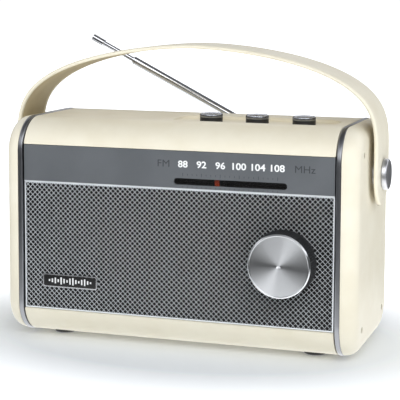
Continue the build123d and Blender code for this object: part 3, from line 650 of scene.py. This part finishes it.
def grille_tree():
    floats = ("Left", "Right", "Bottom", "Top", "Front", "Step", "Shaft X", "Shaft Z", "Shaft Room")
    inputs = [(label, "NodeSocketFloat") for label in floats]
    inputs += [("Cell", "NodeSocketObject"), ("Finish", "NodeSocketMaterial")]
    tree, given, result = new_tree("perforated_sheet", inputs)
    out = given.outputs

    def calc(operation, a, b):
        node = add(tree, "ShaderNodeMath", {"operation": operation})
        for socket, value in zip(node.inputs, (a, b)):
            if isinstance(value, (int, float)):
                socket.default_value = value
            else:
                tree.links.new(value, socket)
        return node.outputs[0]

    width = calc("SUBTRACT", out["Right"], out["Left"])
    height = calc("SUBTRACT", out["Top"], out["Bottom"])
    span = calc("ADD", width, height)
    pairs = calc("ROUND", calc("DIVIDE", span, calc("MULTIPLY", out["Step"], 2)), 0)
    count = calc("ADD", calc("MULTIPLY", pairs, 2), 1)
    size = calc("MULTIPLY", calc("SUBTRACT", count, 1), out["Step"])
    grid = add(tree, "GeometryNodeMeshGrid", {},
               Size_X=size, Size_Y=size, Vertices_X=count, Vertices_Y=count)
    middle_x = calc("MULTIPLY", calc("ADD", out["Left"], out["Right"]), 0.5)
    middle_z = calc("MULTIPLY", calc("ADD", out["Bottom"], out["Top"]), 0.5)
    centre = add(tree, "ShaderNodeCombineXYZ", {}, X=middle_x, Y=out["Front"], Z=middle_z)
    upright_on_corner = (math.pi / 2, math.pi / 4, 0)
    laid = add(tree, "GeometryNodeTransform", {"Rotation": upright_on_corner},
               Geometry=grid.outputs["Mesh"], Translation=centre.outputs[0])
    where = add(tree, "GeometryNodeInputPosition").outputs[0]
    spot = add(tree, "ShaderNodeSeparateXYZ", {}, Vector=where)
    reach = calc("MULTIPLY", out["Step"], 0.70)
    sides = (("X", "Left", "Right"), ("Z", "Bottom", "Top"))
    tests = []
    for axis, least, most in sides:
        tests.append(calc("LESS_THAN", spot.outputs[axis], calc("SUBTRACT", out[least], reach)))
        tests.append(calc("GREATER_THAN", spot.outputs[axis], calc("ADD", out[most], reach)))
    away_x = calc("POWER", calc("SUBTRACT", spot.outputs["X"], out["Shaft X"]), 2)
    away_z = calc("POWER", calc("SUBTRACT", spot.outputs["Z"], out["Shaft Z"]), 2)
    tests.append(calc("LESS_THAN", calc("SQRT", calc("ADD", away_x, away_z), 0), out["Shaft Room"]))
    outside = tests[0]
    for test in tests[1:]:
        outside = calc("MAXIMUM", outside, test)
    kept = add(tree, "GeometryNodeDeleteGeometry", {}, Geometry=laid.outputs[0], Selection=outside)
    shape = add(tree, "GeometryNodeObjectInfo", {}, Object=out["Cell"])
    copies = add(tree, "GeometryNodeInstanceOnPoints", {},
                 Points=kept.outputs[0], Instance=shape.outputs["Geometry"])
    real = add(tree, "GeometryNodeRealizeInstances", {}, Geometry=copies.outputs[0])
    corner = add(tree, "ShaderNodeSeparateXYZ", {}, Vector=where)
    held = {"Y": corner.outputs["Y"]}
    for axis, least, most in sides:
        held[axis] = calc("MINIMUM", calc("MAXIMUM", corner.outputs[axis], out[least]), out[most])
    square = add(tree, "ShaderNodeCombineXYZ", {}, **held)
    trimmed = add(tree, "GeometryNodeSetPosition", {},
                  Geometry=real.outputs[0], Position=square.outputs[0])
    welded = add(tree, "GeometryNodeMergeByDistance", {"Distance": 0.03 * mm},
                 Geometry=trimmed.outputs[0])
    dressed = add(tree, "GeometryNodeSetMaterial", {},
                  Geometry=welded.outputs[0], Material=out["Finish"])
    tree.links.new(dressed.outputs[0], result.inputs["Geometry"])
    return tree


# %% Lay the grille
edge = 0.7 * mm
grille_mesh = run_tree("perforated_grille", grille_tree(), {
    "Left": grille_low.x + edge,
    "Right": grille_high.x - edge,
    "Bottom": grille_low.z + edge,
    "Top": grille_high.z - edge,
    "Front": grille_low.y,
    "Step": half_step * math.sqrt(2),
    "Shaft X": knob_centre.x,
    "Shaft Z": knob_centre.z,
    "Shaft Room": 6.5 * mm,
    "Cell": cell,
    "Finish": nickel_with_painted_sheen,
})
grille = settle("perforated_grille", grille_mesh, nickel_with_painted_sheen, "cabinet", 20)
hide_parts("speaker_grille")

# %% [markdown]
# A plain border closes the sheet where the rows of holes stop. It is four mitred strips, made
# as one ring from two rectangles, front and back.


# %% Border of the grille
def rectangle(x0, x1, z0, z1, inset):
    """The corners (x, z) of an upright rectangle, each drawn in by the inset."""
    x0, x1, z0, z1 = x0 + inset, x1 - inset, z0 + inset, z1 - inset
    return [(x0, z0), (x1, z0), (x1, z1), (x0, z1)]


def grille_border(width):
    points = []
    for y in (grille_low.y + 0.1 * mm, grille_high.y):
        for inset in (0.0, width):
            corners = rectangle(grille_low.x, grille_high.x, grille_low.z, grille_high.z, inset)
            points += [(x, y, z) for x, z in corners]
    faces = []
    for i in range(4):
        j = (i + 1) % 4
        faces += [(i, j, j + 4, i + 4), (i + 8, j + 8, j + 12, i + 12)]
        faces += [(i, j, j + 8, i + 8), (i + 4, j + 4, j + 12, i + 12)]
    piece("grille_border", points, faces, nickel_with_painted_sheen, "cabinet")


grille_border(edge * 1.4)

# %% [markdown]
# ## The dial's print
# Numbers are silk-screened in white above the slot, with the band and unit in dark grey, and fine
# ticks between them. Each is a text or a bar a few hundredths of a millimetre thick, because
# printing ink has a real edge.

# %% Inks
white_ink = moulded("white_screen_ink", "#F6F7F7", "#ECEDED", 0.55)
grey_ink = moulded("grey_screen_ink", "#3E4245", "#383C40", 0.55)
panel_front = low("dial_panel").y
ink = 0.06 * mm
ink_middle = panel_front - ink / 2 + 0.01 * mm


def printed(name, words, x, z, width, height, material, weight):
    """A word in raised ink on the dial panel, centred at x and z, as wide and high as given."""
    capital_share = 0.72
    curve = bpy.data.curves.new(name, "FONT")
    curve.body = words
    curve.size = height / capital_share
    curve.align_x = "CENTER"
    curve.align_y = "CENTER"
    curve.offset = weight
    curve.extrude = ink / 2
    curve.resolution_u = 4
    holder = bpy.data.objects.new(name, curve)
    bpy.context.scene.collection.objects.link(holder)
    graph = bpy.context.evaluated_depsgraph_get()
    mesh = bpy.data.meshes.new_from_object(holder.evaluated_get(graph))
    bpy.data.objects.remove(holder)
    mesh.transform(Matrix.Rotation(math.pi / 2, 4, "X"))
    across = [v.co.x for v in mesh.vertices]
    upward = [v.co.z for v in mesh.vertices]
    left, right, bottom, top = min(across), max(across), min(upward), max(upward)
    mesh.transform(Matrix.Translation((-(left + right) / 2, 0, -(bottom + top) / 2)))
    mesh.transform(Matrix.Diagonal((width / (right - left), 1, height / (top - bottom), 1)))
    mesh.transform(Matrix.Translation((x, ink_middle, z)))
    return settle(name, mesh, material, "cabinet", 30)


# %% Print the dial
first_number = 7.3 * mm
number_step = 14.85 * mm
number_z = 145.4 * mm
for index, number in enumerate(range(88, 109, 4)):
    width = (7.7 if number < 100 else 10.7) * mm
    printed(f"dial_number_{number}", str(number), first_number + index * number_step, number_z,
            width, 5.3 * mm, white_ink, 0.16 * mm)
printed("dial_band_letters", "FM", -8.2 * mm, number_z, 9.5 * mm, 5.2 * mm, grey_ink, 0.0)
printed("dial_unit_letters", "MHz", 102.4 * mm, number_z, 15.4 * mm, 5.2 * mm, grey_ink, 0.0)


# %% [markdown]
# The ticks repeat at an even pitch, with every fifth one longer, so they come from a small tree:
# a line of points, and a bar on each one.


# %% Ticks
def tick_tree():
    floats = ("Pitch", "Width", "Short", "Long", "Every", "Thick")
    inputs = [("Start", "NodeSocketVector"), ("Count", "NodeSocketInt")]
    inputs += [(label, "NodeSocketFloat") for label in floats] + [("Finish", "NodeSocketMaterial")]
    tree, given, result = new_tree("dial_ticks", inputs)
    out = given.outputs
    offset = add(tree, "ShaderNodeCombineXYZ", {}, X=out["Pitch"])
    line = add(tree, "GeometryNodeMeshLine", {}, Count=out["Count"], Start_Location=out["Start"],
               Offset=offset.outputs[0])
    bar_size = add(tree, "ShaderNodeCombineXYZ", {}, X=out["Width"], Y=out["Thick"], Z=out["Short"])
    bar = add(tree, "GeometryNodeMeshCube", {}, Size=bar_size.outputs[0])
    index = add(tree, "GeometryNodeInputIndex")
    place = add(tree, "ShaderNodeMath", {"operation": "MODULO"}, _0=index.outputs[0], _1=out["Every"])
    is_long = add(tree, "ShaderNodeMath", {"operation": "LESS_THAN", 1: 0.5}, _0=place.outputs[0])
    ratio = add(tree, "ShaderNodeMath", {"operation": "DIVIDE"}, _0=out["Long"], _1=out["Short"])
    extra = add(tree, "ShaderNodeMath", {"operation": "SUBTRACT", 1: 1.0}, _0=ratio.outputs[0])
    stretch = add(tree, "ShaderNodeMath", {"operation": "MULTIPLY_ADD", 2: 1.0}, _0=is_long.outputs[0],
                  _1=extra.outputs[0])
    scale = add(tree, "ShaderNodeCombineXYZ", {"X": 1.0, "Y": 1.0}, Z=stretch.outputs[0])
    copies = add(tree, "GeometryNodeInstanceOnPoints", {},
                 Points=line.outputs[0], Instance=bar.outputs["Mesh"], Scale=scale.outputs[0])
    real = add(tree, "GeometryNodeRealizeInstances", {}, Geometry=copies.outputs[0])
    dressed = add(tree, "GeometryNodeSetMaterial", {},
                  Geometry=real.outputs[0], Material=out["Finish"])
    tree.links.new(dressed.outputs[0], result.inputs["Geometry"])
    return tree


ticks = tick_tree()
short_tick = 1.3 * mm
tick_rows = (("dial_ticks_above", 137.4 * mm, 2 * short_tick),
             ("dial_ticks_below", 127.9 * mm, short_tick))
for name, height, long_tick in tick_rows:
    tick_mesh = run_tree(name, ticks, {
        "Start": (first_number, ink_middle, height),
        "Pitch": number_step / 4,
        "Count": 21,
        "Width": 0.35 * mm,
        "Short": short_tick,
        "Long": long_tick,
        "Every": 4.0,
        "Thick": ink,
        "Finish": grey_ink,
    })
    settle(name, tick_mesh, grey_ink, "cabinet")


# %% [markdown]
# The dial panel's lower edge is cut with a diamond tool, which leaves a bare line where it meets
# the grille. It is a thin bevelled strip of the pale nickel, modelled as its own sliver of metal,
# and its brightness is partly a painted highlight along that edge.


# %% Edge of the dial panel, with a painted highlight
def bevelled_strip(name, x0, x1, z0, z1, front, back, bevel, material, body):
    """A flat strip whose front edges are bevelled."""
    points = []
    for y, inset in ((back, 0.0), (front + bevel, 0.0), (front, bevel)):
        points += [(x, y, z) for x, z in rectangle(x0, x1, z0, z1, inset)]
    faces = [(0, 1, 2, 3), (8, 9, 10, 11)]
    for ring in (0, 4):
        for i in range(4):
            j = (i + 1) % 4
            faces.append((ring + i, ring + j, ring + 4 + j, ring + 4 + i))
    piece(name, points, faces, material, body)


panel_low, panel_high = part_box("dial_panel")
bevelled_strip("dial_panel_bright_edge", panel_low.x, panel_high.x,
               panel_low.z - 0.15 * mm, panel_low.z + 0.55 * mm,
               panel_front - 0.12 * mm, panel_front + 0.3 * mm, 0.1 * mm,
               nickel_with_painted_sheen, "cabinet")

# %% [markdown]
# ## The badge
# A small black plate in a bright rim sits on the grille. Its print is a plain row of bars, like a
# sound level, because a reusable part carries nobody's mark.

# %% Badge bars
plate_low, plate_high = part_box("badge_plate")
plate_middle = (plate_low + plate_high) / 2
bar_pitch = 2.5 * mm
bar_half = 0.6 * mm
bar_heights = (1.6, 3.0, 4.6, 2.4, 5.6, 3.6, 2.0, 4.8, 5.8, 3.2, 1.8, 4.2, 5.2, 2.8, 1.4)
for index, tall in enumerate(bar_heights):
    x = plate_middle.x + (index - (len(bar_heights) - 1) / 2) * bar_pitch
    z = plate_middle.z
    bevelled_strip(f"badge_bar_{index + 1}", x - bar_half, x + bar_half,
                   z - tall / 2 * mm, z + tall / 2 * mm,
                   plate_low.y - 0.12 * mm, plate_low.y + 0.1 * mm, 0.08 * mm,
                   white_ink, "cabinet")

# %% [markdown]
# ## The tuning knob
# The knob's body is black and fluted for grip. The flutes run along its wall and fade out in a
# smooth band at its foot. A lathe profile whose radius ripples as it turns gives them.

# %% Fluted knob body
base_low, base_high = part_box("tuning_knob_base")
base_radius = (base_high.x - base_low.x) / 2
base_length = base_high.y - base_low.y
flutes = 84
grip = facing((0, -1, 0), Vector((knob_centre.x, base_high.y, knob_centre.z)))
neck_radius = high("tuning_knob_face").x - knob_centre.x
knob_profile = [
    (0.0, 0.0),
    (base_radius - 0.5 * mm, 0.0),
    (base_radius, 0.4 * mm),
    (base_radius, 1.6 * mm),
    (base_radius - 0.5 * mm, 2.2 * mm),
    (neck_radius + 0.05 * mm, base_length - 0.7 * mm),
    (neck_radius - 0.3 * mm, base_length),
    (0.0, base_length),
]


def flute(step, index):
    """How far the wall is sunk at one step of the turn: only the grip band is fluted."""
    return -0.38 * mm if index in (4, 5) and step % 4 in (0, 1) else 0.0


knob_body = turned("tuning_knob_body", knob_profile, grip, black_abs, "tuning",
                   flutes * 4, 50, flute)
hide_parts("tuning_knob_base")

# %% [markdown]
# ## The three top knobs
# Each has a black skirt and a chromed cap with fine straight ribs, as small pressed-on caps
# have. The cap's top is dished a little, with a short index line cut near its edge. The lathe
# that made the tuning knob makes these too, with ribs in place of flutes.


# %% Ribbed caps and their index lines
def rib(step, index):
    """How far the cap is sunk between its ribs, which stand on the wall only."""
    return -0.3 * mm if index in (2, 3) and step % 4 in (0, 1) else 0.0


ribs = 44
line_half, line_length = 0.45 * mm, 4.2 * mm
for control in ("volume", "tone", "band"):
    cap_low, cap_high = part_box(f"{control}_knob_cap")
    cap_middle = (cap_low + cap_high) / 2
    cap_radius = (cap_high.x - cap_low.x) / 2
    cap_height = cap_high.z - cap_low.z
    seat = Matrix.Translation((cap_middle.x, cap_middle.y, cap_low.z))
    cap_profile = [
        (0.0, 0.0),
        (cap_radius - 0.3 * mm, 0.0),
        (cap_radius, 0.3 * mm),
        (cap_radius, cap_height - 1.0 * mm),
        (cap_radius - 0.5 * mm, cap_height - 0.3 * mm),
        (cap_radius - 1.0 * mm, cap_height),
        (cap_radius - 1.5 * mm, cap_height - 0.05 * mm),
        (cap_radius - 2.0 * mm, cap_height - 0.35 * mm),
        (0.0, cap_height - 0.45 * mm),
    ]
    ribbed = turned(f"{control}_ribbed_cap", cap_profile, seat, darkened_chrome_painted_shade, control,
                    ribs * 4, 50, rib)
    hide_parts(f"{control}_knob_cap")
    line_front = cap_middle.y - cap_radius + 1.6 * mm
    bevelled_strip(f"{control}_index_line", cap_middle.x - line_half, cap_middle.x + line_half,
                   cap_high.z - 0.6 * mm, cap_high.z - 0.28 * mm,
                   line_front, line_front + line_length, 0.05 * mm,
                   gloss_black, control)

# %% [markdown]
# ## The handle's pivots
# The handle turns on a stout pin at each end. A plain washer keeps it off the case, and a turned
# head holds it on. The head has a rounded rim and a shallow dish, so it catches a ring of light.

# %% Pivot heads
pin_radius = 4.0 * mm
washer_radius, washer_starts, washer_ends = 8.5 * mm, 10.0 * mm, 13.5 * mm
head_thickness = 4.3 * mm
for side, direction in (("left", -1), ("right", 1)):
    pivot_low, pivot_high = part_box(f"{side}_handle_pivot")
    head_radius = (pivot_high.z - pivot_low.z) / 2
    pivot_middle = (pivot_low + pivot_high) / 2
    start = pivot_high.x if direction < 0 else pivot_low.x
    length = pivot_high.x - pivot_low.x
    seat = facing((direction, 0, 0), Vector((start, pivot_middle.y, pivot_middle.z)))
    pivot_profile = [
        (0.0, 0.0),
        (pin_radius, 0.0),
        (pin_radius, washer_starts),
        (washer_radius, washer_starts),
        (washer_radius, washer_ends),
        (pin_radius, washer_ends),
        (pin_radius, length - head_thickness),
        (head_radius - 0.3 * mm, length - head_thickness),
        (head_radius, length - 4.0 * mm),
        (head_radius, length - 1.4 * mm),
        (head_radius - 0.35 * mm, length - 0.6 * mm),
        (head_radius - 1.0 * mm, length - 0.1 * mm),
        (head_radius - 1.6 * mm, length),
        (head_radius - 2.4 * mm, length - 0.15 * mm),
        (head_radius - 3.2 * mm, length - 0.5 * mm),
        (0.0, length - 0.7 * mm),
    ]
    pivot = turned(f"{side}_pivot_head", pivot_profile, seat, satin_chrome, "cabinet",
                   72)
    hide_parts(f"{side}_handle_pivot")

# %% [markdown]
# ## The feet
# Moulded rubber feet have a rounded edge and a shallow round hollow underneath, so that only a
# ring of rubber grips the table. One profile is turned four times.

# %% Feet
feet_low, feet_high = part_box("rubber_feet")
foot_radius = 9.0 * mm
foot_profile = [
    (0.0, 0.5 * mm),
    (3.0 * mm, 0.5 * mm),
    (3.4 * mm, 0.0),
    (foot_radius - 1.2 * mm, 0.0),
    (foot_radius - 0.4 * mm, 0.35 * mm),
    (foot_radius, 1.2 * mm),
    (foot_radius - 0.3 * mm, feet_high.z),
    (0.0, feet_high.z),
]
feet = []
for side_x in (feet_low.x + foot_radius, feet_high.x - foot_radius):
    for side_y in (feet_low.y + foot_radius, feet_high.y - foot_radius):
        place = Matrix.Translation((side_x, side_y, feet_low.z))
        feet.append(turned(f"foot_{len(feet) + 1}", foot_profile, place, rubber, "cabinet",
                           48))
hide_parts("rubber_feet")

# %% [markdown]
# ## The handle
# The handle is a spring-steel strip in a leatherette sleeve: a flat band whose cover is folded
# over the edges and glued down inside, where a softer lining covers the middle. It is built as
# a band of cross-sections along its own arch, from one round end over the top to the other. The
# arch is a superellipse, and its stations crowd together where it bends most.


# %% The handle's line
strap_low, strap_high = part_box("handle_strap")
strap_half_width = (strap_high.y - strap_low.y) / 2
hinge = next(j for j in frame["joints"] if j["child"] == "handle")
pivot_z = hinge["pos_m"][2]
spring_z = pivot_z + 16.5 * mm
side_power, top_power = 1.72, 3.2


def arch_point(sweep):
    """A point of the strap's outer face, for a sweep from 0 at the right to pi at the left."""
    side, rise = math.cos(sweep), max(math.sin(sweep), 0.0)
    x = strap_high.x * math.copysign(abs(side) ** (2 / side_power), side)
    z = spring_z + (strap_high.z - spring_z) * rise ** (2 / top_power)
    return Vector((x, case_middle.y, z))


def strap_stations(arm_steps=16, arch_steps=150):
    """Places along the outer face, as (point, outward direction, half width)."""
    to_right, to_left = Vector((1, 0, 0)), Vector((-1, 0, 0))
    arm = []
    for step in range(1, arm_steps + 1):
        part = math.pi / 2 * step / arm_steps
        drop = strap_half_width * math.cos(part)
        arm.append((pivot_z - drop, strap_half_width * math.sin(part)))
    arm.append(((pivot_z + spring_z) / 2, strap_half_width))
    stations = [(Vector((strap_high.x, case_middle.y, z)), to_right, half) for z, half in arm]
    crowding, reach = 0.16, 0.004
    for step in range(arch_steps + 1):
        sweep = math.pi * step / arch_steps
        sweep -= crowding * math.sin(2 * sweep)
        ahead = arch_point(min(sweep + reach, math.pi))
        behind = arch_point(max(sweep - reach, 0.0))
        along = (ahead - behind).normalized()
        outward = Vector((along.z, 0, -along.x))
        if step in (0, arch_steps):
            outward = to_right if step == 0 else to_left
        stations.append((arch_point(sweep), outward, strap_half_width))
    stations += [(Vector((-strap_high.x, case_middle.y, z)), to_left, half) for z, half in reversed(arm)]
    return stations


# %% [markdown]
# A cross-section is a list of places on the band's rim: how far in from the edge, and how deep
# under the outer face. The cover has a rolled edge, a folded rim on the inside, and a shallow
# tray between the rims for the lining.


# %% Sweep the handle
def strap_sweep(name, section, material):
    """Sweep a closed section of (distance in from the edge, depth) along the strap."""
    points, faces = [], []
    stations = strap_stations()
    full_edge = 6 * mm
    for spot, outward, half in stations:
        shrink = min(1.0, half / full_edge)
        ring = [(half - inset * shrink, depth) for inset, depth in section]
        ring += [(-(half - inset * shrink), depth) for inset, depth in reversed(section)]
        for across, depth in ring:
            points.append(spot - outward * depth + Vector((0, across, 0)))
    count = 2 * len(section)
    for station in range(len(stations) - 1):
        for index in range(count):
            after = (index + 1) % count
            a, b = station * count + index, station * count + after
            faces.append((a, b, b + count, a + count))
    faces.append(tuple(range(count)))
    faces.append(tuple(range((len(stations) - 1) * count, len(stations) * count)))
    return piece(name, points, faces, material, "handle", 50)


in_mm = ((14, 0), (5, 0.02), (2, 0.12), (0.9, 0.32), (0.3, 0.75), (0, 1.5), (0.12, 2.3), (0.5, 2.85),
         (1.1, 3.15), (2.9, 3.2), (3.4, 3.05), (3.7, 2.6), (14, 2.6))
cover_section = [(inset * mm, depth * mm) for inset, depth in in_mm]
in_mm = ((14, 2.55), (3.75, 2.55), (3.8, 2.8), (4.4, 2.95), (14, 2.98))
lining_section = [(inset * mm, depth * mm) for inset, depth in in_mm]
strap = strap_sweep("strap_cover", cover_section, cream)
# The lining's darker tan is painted shade for the handle's underside.
lining = strap_sweep("strap_lining", lining_section, lining_leatherette_with_painted_shade)
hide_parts("handle_strap", "handle_core")
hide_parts("handle_lining")
